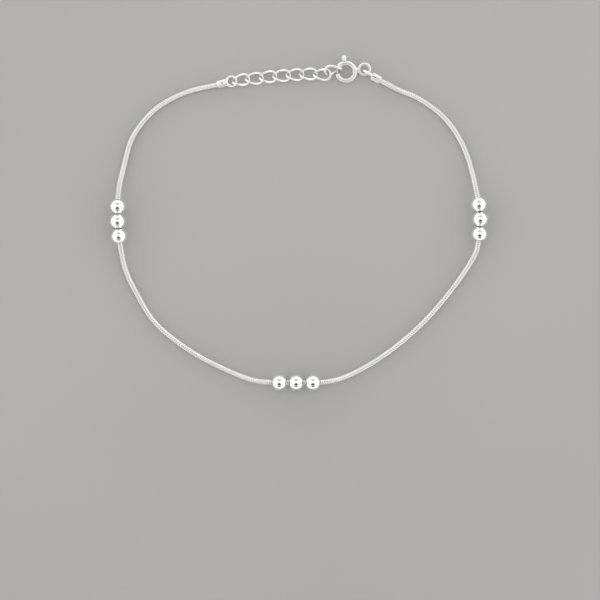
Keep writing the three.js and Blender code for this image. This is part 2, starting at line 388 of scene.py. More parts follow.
def grid_mesh(rows: np.ndarray, closed: bool) -> bpy.types.Mesh:
    """Make a closed mesh from rows of points that each run round a ring.

    Args:
        rows: points of shape (rows, columns, 3).
        closed: whether the last row joins the first, or else both get a lid.

    Returns:
        The mesh, with its faces outward.
    """
    height, width = rows.shape[:2]
    faces: list[tuple[int, ...]] = []
    for i in range(height if closed else height - 1):
        after = ((i + 1) % height) * width
        for j in range(width):
            beside = (j + 1) % width
            faces.append((i * width + j, i * width + beside, after + beside, after + j))
    if not closed:
        faces.append(tuple(reversed(range(width))))
        faces.append(tuple(range((height - 1) * width, height * width)))
    mesh = bpy.data.meshes.new("grid")
    mesh.from_pydata(rows.reshape(-1, 3).tolist(), [], faces)
    return face_outward(mesh)


def face_outward(mesh: bpy.types.Mesh) -> bpy.types.Mesh:
    """Merge doubled points and turn the faces of a closed mesh outward.

    Args:
        mesh: closed mesh in millimetres.

    Returns:
        The same mesh.
    """
    doubled = 1e-5
    work = bmesh.new()
    work.from_mesh(mesh)
    bmesh.ops.remove_doubles(work, verts=work.verts, dist=doubled)
    if work.calc_volume(signed=True) < 0:
        bmesh.ops.reverse_faces(work, faces=work.faces)
    work.to_mesh(mesh)
    work.free()
    return mesh


def arc(angles: np.ndarray) -> np.ndarray:
    """Points of a circle of radius 1 at angles in radians, as rows of x and y."""
    return np.stack([np.cos(angles), np.sin(angles)], axis=1)


def circle(radius: float, sides: int) -> np.ndarray:
    """Points of a whole circle, as rows of x and y."""
    return radius * arc(np.arange(sides) * 2 * math.pi / sides)


def lathe(profile: np.ndarray, sides: int, closed: bool) -> bpy.types.Mesh:
    """Turn a profile round the Z axis.

    Args:
        profile: (radius, height) pairs in order.
        sides: number of sides.
        closed: whether the profile joins its own start.

    Returns:
        The turned mesh.
    """
    rows = np.zeros((len(profile), sides, 3))
    rows[:, :, :2] = profile[:, None, :1] * circle(1.0, sides)[None]
    rows[:, :, 2] = profile[:, None, 1]
    return grid_mesh(rows, closed)


def bar(section: np.ndarray, stops: Sequence[tuple[float, float]]) -> bpy.types.Mesh:
    """Run a section along the X axis.

    Args:
        section: (y, z) points of the section.
        stops: pairs of a place along X and the scale of the section there.

    Returns:
        The bar, with a lid on each end.
    """
    rows = [np.column_stack([np.full(len(section), x), section * scale]) for x, scale in stops]
    return grid_mesh(np.array(rows), False)


def ring_sweep(
    radius: float, degrees: np.ndarray, section: Callable[[int], np.ndarray]
) -> bpy.types.Mesh:
    """Sweep a section along an arc about the Z axis.

    Args:
        radius: radius of the arc.
        degrees: angle of each step.
        section: gives the (outward, upward) points of a step.

    Returns:
        The swept mesh, with a lid on each end.
    """
    rows = []
    for i, turn in enumerate(np.radians(degrees)):
        points = section(i)
        outward = radius + points[:, 0]
        rows.append(np.stack([outward * math.cos(turn), outward * math.sin(turn), points[:, 1]], axis=1))
    return grid_mesh(np.array(rows), False)


class Workpiece:
    """Closed mesh in millimetres that others are joined to or cut from."""

    def __init__(self, mesh: bpy.types.Mesh) -> None:
        """Start from a closed mesh."""
        self.mesh = mesh

    def combine(self, other: bpy.types.Mesh, join: Join) -> None:
        """Join another closed mesh to this one, or cut it out.

        Args:
            other: closed mesh in the same place.
            join: the way to combine them.
        """
        holder = add_object("workpiece", self.mesh)
        tool = add_object("tool", other)
        modifier = holder.modifiers.new("combine", "BOOLEAN")
        modifier.operation = join.value
        modifier.solver = "EXACT"
        modifier.object = tool
        self.mesh = apply_modifiers(holder)
        bpy.data.objects.remove(tool)

    def turned(self, place: Matrix) -> "Workpiece":
        """Move the mesh to its place."""
        self.mesh.transform(place)
        return self


def vectors(items: bpy.types.bpy_prop_collection, name: str) -> np.ndarray:
    """Read a vector of each vertex or face.

    Args:
        items: vertices or faces of a mesh.
        name: property that holds the vector.

    Returns:
        Array of shape (items, 3).
    """
    flat = np.zeros(3 * len(items))
    items.foreach_get(name, flat)
    return flat.reshape(-1, 3)


def set_painted_shade(mesh: bpy.types.Mesh, depth: np.ndarray, domain: str = "POINT") -> None:
    """Store how deep each vertex or face lies in a hollow, from 0 to 1, where the materials paint shade.
    """
    layer = mesh.attributes.new(PAINTED_SHADE_ATTRIBUTE, "FLOAT", domain)
    layer.data.foreach_set("value", np.clip(depth, 0, 1).astype(np.float32))


def ease(numbers: np.ndarray, low: float, high: float) -> np.ndarray:
    """Rise smoothly from 0 to 1.

    Args:
        numbers: any numbers.
        low: number where the rise starts.
        high: number where it ends.

    Returns:
        Shares from 0 to 1.
    """
    share = np.clip((numbers - low) / (high - low), 0, 1)
    return share * share * (3 - 2 * share)


@dataclass(frozen=True)
class SilverFinish:
    """Finish of silver: a tint, a polish with fine hairlines, and painted shade in the hollows."""

    slot: Slot
    tint: Colour
    shade: Colour
    # The painted shade of the hollows: its dark colour here, and its strength and spread below.
    painted_shade_colour: Colour
    roughness: float
    roughness_spread: float
    hairline_depth: float
    painted_shade_share: float = 0.85
    painted_shade_least: float = 0.7
    painted_shade_spread: float = 0.6
    cloud_per_mm: float = 0.7
    cloud_octaves: float = 3.0
    cloud_edges: Edges = (0.35, 0.7)
    grain_per_mm: float = 26.0
    hairlines_per_mm: float = 2.0
    hairline_stretch: float = 14.0
    hairline_edges: Edges = (0.5, 0.75)
    hairline_blur: float = 0.4
    hairline_relief: float = 0.6
    haze: float = 0.55
    haze_spread: float = 0.5

    def material(self) -> bpy.types.Material:
        """Build the node material.

        Returns:
            The material.
        """
        graph = MaterialGraph(self.slot.value)
        cloud = graph.noise(self.cloud_per_mm, self.cloud_octaves)
        grain = graph.noise(self.grain_per_mm)
        along = graph.noise(self.hairlines_per_mm, stretch=(1, self.hairline_stretch, 1))
        across = graph.noise(self.hairlines_per_mm, stretch=(self.hairline_stretch, 1, 1))
        hairlines = along.step(*self.hairline_edges) + across.step(*self.hairline_edges)
        # Painted shade: surfaces marked as lying in hollows get a darker base colour, a little uneven
        # over the surface.
        painted_shade_depth = graph.value("ShaderNodeAttribute", {"attribute_name": PAINTED_SHADE_ATTRIBUTE}, None, "Fac")
        painted_shade = painted_shade_depth * (self.painted_shade_least + self.painted_shade_spread * cloud)
        clean = graph.blend(cloud.step(*self.cloud_edges), self.tint, self.shade)
        dulled = cloud - graph.NOISE_MIDDLE + self.hairline_blur * hairlines + painted_shade
        relief = self.hairline_relief * hairlines + (1 - self.hairline_relief) * grain
        sockets = {
            "Base Color": graph.blend(painted_shade * self.painted_shade_share, clean, self.painted_shade_colour),
            "Metallic": 1.0,
            "Roughness": self.roughness + self.roughness_spread * dulled,
            "Normal": graph.bump(relief, self.hairline_depth),
            "Sheen Weight": self.haze,
            "Sheen Roughness": self.haze_spread,
        }
        return graph.finish(sockets)


@dataclass(frozen=True)
class BoardFinish:
    """Pale satin board with a faint tooth."""

    tint: Colour = (0.44, 0.44, 0.436, 1)
    shade: Colour = (0.42, 0.42, 0.417, 1)
    roughness: float = 0.3
    sheen_index: float = 1.7
    cloud_per_mm: float = 0.009
    cloud_edges: Edges = (0.3, 0.7)
    tooth_per_mm: float = 0.9
    tooth_octaves: float = 3.0
    tooth_depth: float = 0.01
    tooth_strength: float = 0.3

    def material(self) -> bpy.types.Material:
        """Build the node material.

        Returns:
            The material.
        """
        graph = MaterialGraph("pale_board")
        cloud = graph.noise(self.cloud_per_mm)
        tooth = graph.noise(self.tooth_per_mm, self.tooth_octaves)
        sockets = {
            "Base Color": graph.blend(cloud.step(*self.cloud_edges), self.tint, self.shade),
            "Roughness": self.roughness,
            "IOR": self.sheen_index,
            "Normal": graph.bump(tooth, self.tooth_depth, self.tooth_strength),
        }
        return graph.finish(sockets)


@dataclass
class Finishes:
    """Materials of the anklet, one for each slot."""

    # The third colour of each finish is the painted shade of its hollows.
    polished: SilverFinish = SilverFinish(
        Slot.POLISHED,
        tint=(0.955, 0.94, 0.925, 1),
        shade=(0.93, 0.915, 0.9, 1),
        painted_shade_colour=(0.3, 0.28, 0.26, 1),
        roughness=0.15,
        roughness_spread=0.05,
        hairline_depth=0.0004,
    )
    # The chain's painted shade is near black and laid past full strength, so the grooves between the
    # hoops come out dark.
    chain: SilverFinish = SilverFinish(
        Slot.CHAIN,
        tint=(0.975, 0.965, 0.955, 1),
        shade=(0.94, 0.93, 0.915, 1),
        painted_shade_colour=(0.09, 0.083, 0.078, 1),
        roughness=0.38,
        roughness_spread=0.08,
        hairline_depth=0.0008,
        painted_shade_share=1.6,
    )
    finding: SilverFinish = SilverFinish(
        Slot.FINDING,
        tint=(0.95, 0.938, 0.922, 1),
        shade=(0.91, 0.895, 0.88, 1),
        painted_shade_colour=(0.3, 0.285, 0.27, 1),
        roughness=0.36,
        roughness_spread=0.07,
        hairline_depth=0.0006,
    )

    def __post_init__(self) -> None:
        """Make the three materials."""
        finishes = (self.polished, self.chain, self.finding)
        self.made: dict[Slot, bpy.types.Material] = {item.slot: item.material() for item in finishes}

    def seat(
        self,
        node: str,
        ending: str,
        mesh: bpy.types.Mesh,
        slot: Slot,
        sharp: float,
        body: Body = Body.ANKLET,
    ) -> None:
        """Turn a mesh into a piece that stands for a solid of the frame and moves with its body.

        Args:
            node: name of the solid.
            ending: last word of the piece's name.
            mesh: closed mesh in millimetres, in the anklet's frame.
            slot: material slot that it takes.
            sharp: edges sharper than this many degrees stay crisp.
            body: body that it moves with.
        """
        mesh.name = f"{node}_{ending}"
        mesh.transform(Matrix.Scale(MM, 4))
        mesh.materials.clear()
        mesh.materials.append(self.made[slot])
        mesh.polygons.foreach_set("use_smooth", [True] * len(mesh.polygons))
        mesh.polygons.foreach_set("material_index", [0] * len(mesh.polygons))
        mesh.set_sharp_from_angle(angle=math.radians(sharp))
        mesh.calc_loop_triangles()
        piece = add_object(mesh.name, mesh)
        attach(piece, body.value)
        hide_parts(node)
        log.info("%s stands for %s with %d triangles", piece.name, node, len(mesh.loop_triangles))


@dataclass(frozen=True)
class Lift:
    """Stretch of the chain that is held above the surface."""

    along: float
    height: float
    hold: float
    rise: float


@dataclass
class ChainRoute:
    """Middle line of the chain, through its stations and over its lifts."""

    stations: Mapping[str, tuple[float, float]]
    lying: float
    samples: int = 40
    lifts: list[Lift] = field(default_factory=list)

    def __post_init__(self) -> None:
        """Sample the plan and measure it."""
        knots = np.array(list(self.stations.values()))
        padded = np.vstack([2 * knots[0] - knots[1], knots, 2 * knots[-1] - knots[-2]])
        pieces = [self.span(padded[i : i + 4]) for i in range(len(knots) - 1)]
        self.plan = np.vstack([*pieces, knots[-1:]])
        steps = np.linalg.norm(np.diff(self.plan, axis=0), axis=1)
        self.lengths = np.concatenate([[0.0], np.cumsum(steps)])
        self.length = float(self.lengths[-1])

    def span(self, knots: np.ndarray) -> np.ndarray:
        """Sample the smooth curve between the middle two of four knots.

        Args:
            knots: four points of the plan.

        Returns:
            Points from the second knot up to, and without, the third.
        """
        before, start, end, after = knots
        gaps = np.sqrt(np.linalg.norm(np.diff(knots, axis=0), axis=1))
        first, middle, last = gaps
        leave = (start - before) / first - (end - before) / (first + middle) + (end - start) / middle
        arrive = (end - start) / middle - (after - start) / (middle + last) + (after - end) / last
        share = (np.arange(self.samples) / self.samples)[:, None]
        cubic = 2 * (start - end) + middle * (leave + arrive)
        square = 3 * (end - start) - middle * (2 * leave + arrive)
        return start + share * (middle * leave + share * (square + share * cubic))

    def along(self, station: str) -> float:
        """Distance along the plan to a station."""
        return float(self.lengths[list(self.stations).index(station) * self.samples])

    def height(self, along: float) -> float:
        """Height of the middle line.

        Args:
            along: distance along the plan.

        Returns:
            The height above the surface.
        """
        total = self.lying
        for lift in self.lifts:
            away = min(max((abs(along - lift.along) - lift.hold) / lift.rise, 0), 1)
            fall = away**3 * (away * (6 * away - 15) + 10)
            total += (lift.height - self.lying) * (1 - fall)
        return total

    def point(self, along: float) -> Vector:
        """Point of the middle line at a distance along the plan."""
        x, y = (float(np.interp(along, self.lengths, self.plan[:, axis])) for axis in (0, 1))
        return Vector((x, y, self.height(along)))

    def heading(self, along: float, reach: float) -> Vector:
        """Direction of the middle line, taken over a reach to both sides."""
        return (self.point(along + reach) - self.point(along - reach)).normalized()


@dataclass
class SnakeChain:
    """Round snake chain: hundreds of nested hoops, each bent like a saddle."""

    route: ChainRoute
    across: float = 1.3
    pitch: float = 0.55
    wave: float = 0.2
    sides: int = 12
    end_inset: float = 0.35
    path_step: float = 0.3
    band_from: float = 0.11
    band_to: float = 0.44
    mouth_across: float = 1.02
    tongue_across: float = 0.92
    tongue_reach: float = 0.59
    sharp: float = 80

    def profile(self) -> list[tuple[float, float]]:
        """Section of a hoop.

        Returns:
            Four (radius, distance along the chain) corners.
        """
        return [
            (self.mouth_across / 2, 0.0),
            (self.tongue_across / 2, self.tongue_reach),
            (self.across / 2, self.band_to),
            (self.across / 2, self.band_from),
        ]

    def graph(self, material: bpy.types.Material) -> GeometryGraph:
        """Geometry Nodes tree that strings hoops along a line of edges.

        Args:
            material: finish of the hoops.

        Returns:
            The tree.
        """
        tree = GeometryGraph("snake_chain_hoops")
        sizes = {"Pitch": self.pitch, "Across": self.across, "Wave": self.wave, "Sides": self.sides}
        pitch, across, wave, sides = tree.numbers(sizes)
        path = tree.value("GeometryNodeMeshToCurve", None, {"Mesh": tree.source.outputs["Geometry"]})
        upright = tree.value("GeometryNodeSetCurveNormal", {"mode": "Z_UP"}, {"Curve": path})
        sockets = {"Curve": upright, "Length": pitch}
        stations = tree.node("GeometryNodeCurveToPoints", {"mode": "LENGTH"}, sockets)

        middle = self.across / 2
        corners = [(radius - middle, -reach, 0.0) for radius, reach in self.profile()]
        sockets = {f"Point {i + 1}": corner for i, corner in enumerate(corners)}
        section = tree.value("GeometryNodeCurvePrimitiveQuadrilateral", {"mode": "POINTS"}, sockets)
        sockets = {"Resolution": sides, "Radius": across / 2}
        hoop = tree.value("GeometryNodeCurvePrimitiveCircle", None, sockets)
        rim = tree.value("GeometryNodeCurveToMesh", None, {"Curve": hoop, "Profile Curve": section})

        x, y, _ = tree.parts(tree.value("GeometryNodeInputPosition"))
        radius_squared = x * x + y * y
        bend = wave * (x * x - y * y) / radius_squared
        offset = tree.value("ShaderNodeCombineXYZ", None, {"Z": bend})
        saddle = tree.value("GeometryNodeSetPosition", None, {"Geometry": rim, "Offset": offset})
        # Painted shade: the deeper a point of the hoop lies towards its tongue, the darker the material
        # paints it.
        depth = (across / 2 - radius_squared**0.5) / (across / 2 - self.tongue_across / 2)
        settings = {"data_type": "FLOAT", "domain": "POINT"}
        sockets = {"Geometry": saddle, "Name": PAINTED_SHADE_ATTRIBUTE, "Value": depth}
        marked = tree.value("GeometryNodeStoreNamedAttribute", settings, sockets)
        sockets = {
            "Points": stations.outputs["Points"],
            "Rotation": stations.outputs["Rotation"],
            "Instance": marked,
        }
        strung = tree.value("GeometryNodeInstanceOnPoints", None, sockets)
        tree.finish(strung, material)
        return tree

    def path(self) -> bpy.types.Mesh:
        """Line of edges along the middle of the chain.

        Returns:
            The mesh of the line.
        """
        last = self.route.length - self.end_inset - self.pitch
        stops = np.linspace(self.end_inset, last, round(self.route.length / self.path_step))
        points = [tuple(self.route.point(along)) for along in stops]
        line = bpy.data.meshes.new("snake_chain_line")
        line.from_pydata(points, [(i, i + 1) for i in range(len(points) - 1)], [])
        return line

    def build(self, finishes: Finishes) -> None:
        """Make the chain and seat it."""
        mesh = self.graph(finishes.made[Slot.CHAIN]).bake(self.path())
        finishes.seat("snake_chain", "hoops", mesh, Slot.CHAIN, self.sharp)


@dataclass
class BeadGroup:
    """Three hollow beads that are threaded on the chain."""

    name: str
    station: str
    spacing: float
    route: ChainRoute
    radius: float = 2.0
    rise: float = 10.0
    wall: float = 0.35
    hole: float = 1.76
    rim_round: float = 0.12
    rim_steps: int = 5
    outside_steps: int = 26
    inside_steps: int = 10
    sides: int = 48
    sharp: float = 50
    places: tuple[int, ...] = (-1, 0, 1)
    # Painted shade inside the bead and round its hole:
    inside_shade_depth: Edges = (0.02, 0.15)
    rim_shade: float = 0.5
    rim_shade_width: float = 0.3

    def lift(self) -> Lift:
        """Stretch of the chain that the beads hold up."""
        return Lift(self.route.along(self.station), self.radius, self.spacing + self.radius, self.rise)

    def half_profile(self, radius: float) -> np.ndarray:
        """Upper half of a bead's wall, from the equator outside to the equator inside.

        Args:
            radius: outside radius of the bead.

        Returns:
            (radius, height) pairs.
        """
        bore = self.hole / 2
        inside = radius - self.wall
        fillet_radius = bore + self.rim_round
        fillet_height = math.sqrt((radius - self.rim_round) ** 2 - fillet_radius**2)
        rim_from = math.atan2(fillet_height, fillet_radius)
        outer = np.linspace(0, rim_from, self.outside_steps // 2 + 1)
        lip = np.linspace(rim_from, math.pi, self.rim_steps)[1:]
        inner = np.linspace(math.acos(bore / inside), 0, self.inside_steps // 2 + 1)
        return np.vstack(
            [
                radius * arc(outer),
                [fillet_radius, fillet_height] + self.rim_round * arc(lip),
                inside * arc(inner),
            ]
        )

    def shell(self, radius: float) -> bpy.types.Mesh:
        """Drilled hollow bead round the Z axis.

        Args:
            radius: outside radius.

        Returns:
            The closed mesh.
        """
        upper = self.half_profile(radius)
        lower = upper[-2:0:-1] * [1, -1]
        mesh = lathe(np.vstack([upper, lower]), self.sides, True)
        points = vectors(mesh.vertices, "co")
        # Painted shade: darker on the inside of the shell and near the rim of the hole.
        away = np.hypot(points[:, 0], points[:, 1]) - self.hole / 2
        inward = ease(radius - np.linalg.norm(points, axis=1), *self.inside_shade_depth)
        set_painted_shade(mesh, inward + self.rim_shade * (1 - ease(away, 0, self.rim_shade_width)))
        return mesh

    def build(self, finishes: Finishes) -> None:
        """Make the beads, in the places and sizes of the solids, and seat them.

        Args:
            finishes: materials of the anklet.
        """
        for i, place in enumerate(self.places):
            node = f"{self.name}_bead_{i + 1}"
            low, high = (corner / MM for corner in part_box(node))
            radius = (high.z - low.z) / 2
            along = self.route.along(self.station) + place * self.spacing
            turn = self.route.heading(along, radius).to_track_quat("Z", "Y").to_matrix().to_4x4()
            mesh = self.shell(radius)
            mesh.transform(Matrix.Translation((low + high) / 2) @ turn)
            finishes.seat(node, "shell", mesh, Slot.POLISHED, self.sharp)


@dataclass(frozen=True)
class LinkPose:
    """Place of an extender link on the surface and its turns in degrees."""

    x: float
    y: float
    yaw: float
    pitch: float
    roll: float


@dataclass
class Extender:
    """Row of oval wire links, each twisted so that the row lies flat."""

    poses: Sequence[LinkPose]
    length: float = 4.75
    width: float = 3.4
    wire: float = 0.58
    twist: float = 0.46
    steps: int = 64
    sides: int = 14
    sharp: float = 60
    # Painted shade on the inner side of both ends, where the neighbouring links pass:
    end_shade_share: float = 0.7
    end_shade_ends: Edges = (0.45, 0.8)
    end_shade_inward: Edges = (0.0, 0.12)

    def graph(self, material: bpy.types.Material) -> GeometryGraph:
        """Geometry Nodes tree of one twisted link.

        Args:
            material: finish of the wire.

        Returns:
            The tree.
        """
        tree = GeometryGraph("extender_link_wire")
        forms = {"Length": self.length, "Width": self.width, "Wire": self.wire, "Twist": self.twist}
        length, width, wire, twist = tree.numbers(forms)
        steps, sides = tree.numbers({"Steps": self.steps, "Sides": self.sides})
        hoop = tree.value("GeometryNodeCurvePrimitiveCircle", None, {"Resolution": steps, "Radius": 1.0})
        x, y, _ = tree.parts(tree.value("GeometryNodeInputPosition"))
        sockets = {"X": x * (length - wire) / 2, "Y": y * (width - wire) / 2, "Z": twist * 2 * x * y}
        oval = tree.value("ShaderNodeCombineXYZ", None, sockets)
        line = tree.value("GeometryNodeSetPosition", None, {"Geometry": hoop, "Position": oval})
        sockets = {"Resolution": sides, "Radius": wire / 2}
        section = tree.value("GeometryNodeCurvePrimitiveCircle", None, sockets)
        swept = tree.value("GeometryNodeCurveToMesh", None, {"Curve": line, "Profile Curve": section})
        tree.finish(swept, material)
        return tree

    def mark_painted_shade(self, mesh: bpy.types.Mesh) -> None:
        """Paint shade on the inner side of both ends, where the neighbours bear.

        Args:
            mesh: link before it is laid down.
        """
        x, y, _ = vectors(mesh.vertices, "co").T
        along = x * 2 / (self.length - self.wire)
        across = y * 2 / (self.width - self.wire)
        inward = ease(1 - np.hypot(along, across), *self.end_shade_inward)
        set_painted_shade(mesh, self.end_shade_share * inward * ease(np.abs(along), *self.end_shade_ends))

    def build(self, finishes: Finishes) -> None:
        """Make the links, lay them on the surface and seat them.

        Args:
            finishes: materials of the anklet.
        """
        tree = self.graph(finishes.made[Slot.FINDING])
        pattern = tree.bake(bpy.data.meshes.new("extender_link_seed"))
        self.mark_painted_shade(pattern)
        for i, pose in enumerate(self.poses):
            node = f"extender_link_{i + 1}"
            mesh = pattern.copy()
            turns = Euler([math.radians(turn) for turn in (pose.roll, pose.pitch, pose.yaw)])
            mesh.transform(Matrix.Translation((pose.x, pose.y, 0)) @ turns.to_matrix().to_4x4())
            lowest = vectors(mesh.vertices, "co")[:, 2].min()
            mesh.transform(Matrix.Translation((0, 0, -lowest)))
            finishes.seat(node, "wire", mesh, Slot.FINDING, self.sharp)


@dataclass
class EndCap:
    """Folded cap: a square barrel round the end of the chain and a drop-shaped loop of strip."""

    name: str
    mouth: str
    hole: str
    height: float
    roll: float
    route: ChainRoute
    rise: float = 9.0
    width: float = 1.85
    corner_round: float = 0.5
    edge_round: float = 0.08
    barrel_length: float = 2.5
    bore: float = 1.58
    bore_depth: float = 2.2
    seam: float = 0.14
    seam_mouth: float = 0.18
    length: float = 5.1
    loop_width: float = 2.9
    strip: float = 0.46
    strip_height: float = 0.58
    strip_round: float = 0.1
    loop_rise: float = 0.17
    neck_width: float = 1.7
    loop_bend: float = 117
    dimple_at: float = 1.2
    dimple_across: float = 0.62
    dimple_depth: float = 0.1
    # Painted shade in the seam between the flaps and in the dimple:
    seam_shade: float = 0.9
    dimple_shade: float = 0.6
    slack: float = 0.02
    corner_steps: int = 6
    loop_steps: int = 40
    bore_sides: int = 32
    sharp: float = 35

    def lift(self) -> Lift:
        """Stretch of the chain that the cap holds up."""
        return Lift(self.route.along(self.hole), self.height, self.barrel_length, self.rise)

    def barrel(self) -> bpy.types.Mesh:
        """Rounded square bar along +X from the mouth, with softened ends.

        Returns:
            The closed mesh.
        """
        flat = self.width / 2 - self.corner_round
        turns = np.linspace(0, math.pi / 2, self.corner_steps + 1)
        outline = []
        for quarter in range(4):
            middle = quarter * math.pi / 2 + math.pi / 4
            centre = flat * math.sqrt(2) * np.array([math.cos(middle), math.sin(middle)])
            swing = turns + quarter * math.pi / 2
            outline.append(centre + self.corner_round * arc(swing))
        slim = 1 - 2 * self.edge_round / self.width
        stops = [
            (0.0, slim),
            (self.edge_round, 1.0),
            (self.barrel_length - self.edge_round, 1.0),
            (self.barrel_length, slim),
        ]
        return bar(np.vstack(outline), stops)

    def drop(self, end: float, half_width: float, neck: float, neck_half: float) -> np.ndarray:
        """Drop outline about the X axis: a round end and straight sides that run in to a neck.

        Args:
            end: x of the round end.
            half_width: radius of the round end.
            neck: x of the neck.
            neck_half: half the width of the neck.

        Returns:
            Points from one corner of the neck round to the other.
        """
        bend = math.radians(self.loop_bend)
        swing = np.linspace(-bend, bend, self.loop_steps + 1)
        bow = [end - half_width, 0] + half_width * arc(swing)
        return np.vstack([[neck, -neck_half], bow, [neck, neck_half]])

    def loop(self) -> bpy.types.Mesh:
        """Loop of strip with softened edges, parallel to the XY plane.

        Returns:
            The closed mesh.
        """
        outer = self.drop(self.length, self.loop_width / 2, self.bore_depth, self.neck_width / 2)
        hole_end = self.length - self.strip
        hole_neck = self.barrel_length + self.strip / 3
        inner = self.drop(hole_end, self.loop_width / 2 - self.strip, hole_neck, self.strip / 2)
        top = self.strip_height / 2
        soft = self.strip_round
        inset = soft / self.strip
        section = [
            (0, soft - top),
            (0, top - soft),
            (inset, top),
            (1 - inset, top),
            (1, top - soft),
            (1, soft - top),
            (1 - inset, -top),
            (inset, -top),
        ]
        rows = np.zeros((len(outer), len(section), 3))
        for j, (share, height) in enumerate(section):
            rows[:, j, :2] = outer + share * (inner - outer)
            rows[:, j, 2] = self.loop_rise + height
        return grid_mesh(rows, True)

    def dent(self) -> bpy.types.Mesh:
        """Ball that presses the dimple into the top of the barrel.

        Returns:
            The closed mesh.
        """
        half = self.dimple_across / 2
        radius = (half**2 + self.dimple_depth**2) / (2 * self.dimple_depth)
        sweep = np.linspace(-math.pi / 2, math.pi / 2, self.bore_sides // 2 + 1)
        ball = lathe(radius * arc(sweep), self.bore_sides, False)
        lift = self.width / 2 + radius - self.dimple_depth
        ball.transform(Matrix.Translation((self.dimple_at, 0, lift)))
        return ball

    def drill(self, section: np.ndarray) -> bpy.types.Mesh:
        """Bar that cuts a section out of the barrel from its mouth."""
        return bar(section, [(-self.bore_depth, 1.0), (self.bore_depth, 1.0)])

    def seam_section(self) -> np.ndarray:
        """Section between the two folded flaps, wider where their edges are rounded.

        Returns:
            (y, z) points.
        """
        half, mouth = self.seam / 2, self.seam_mouth / 2
        lower = [(0, -half), (self.bore / 2, -half), (self.width / 2, -mouth), (self.width, -mouth)]
        return np.array(lower + [(y, -z) for y, z in reversed(lower)])

    def mark_painted_shade(self, mesh: bpy.types.Mesh) -> None:
        """Paint shade into the bore, the seam between the flaps and the dimple.

        Args:
            mesh: cap before it is laid down.
        """
        x, y, z = vectors(mesh.polygons, "center").T
        below = self.width / 2 - self.slack / 4
        barrel = x < self.bore_depth + self.slack
        bored = barrel * (np.hypot(y, z) < self.bore / 2 + self.slack)
        parted = barrel * (y > 0) * (y < below) * (np.abs(z) < self.seam_mouth / 2 + self.slack)
        from_dimple = np.hypot(x - self.dimple_at, y)
        dented = (from_dimple < self.dimple_across / 2) * (z > self.bore / 2) * (z < below)
        hollows = [1.0 * bored, self.seam_shade * parted, self.dimple_shade * dented]
        set_painted_shade(mesh, np.maximum.reduce(hollows), "FACE")

    def build(self, finishes: Finishes) -> None:
        """Make the cap and seat it.

        Args:
            finishes: materials of the anklet.
        """
        work = Workpiece(self.barrel())
        work.combine(self.loop(), Join.UNION)
        work.combine(self.drill(circle(self.bore / 2, self.bore_sides)), Join.CUT)
        work.combine(self.drill(self.seam_section()), Join.CUT)
        work.combine(self.dent(), Join.CUT)
        self.mark_painted_shade(work.mesh)
        start = Vector(self.route.stations[self.mouth])
        ahead = Vector(self.route.stations[self.hole]) - start
        turns = Euler((math.radians(self.roll), 0, math.atan2(ahead.y, ahead.x)))
        place = Matrix.Translation((start.x, start.y, self.height)) @ turns.to_matrix().to_4x4()
        finishes.seat(self.name, "folded", work.turned(place).mesh, Slot.FINDING, self.sharp)


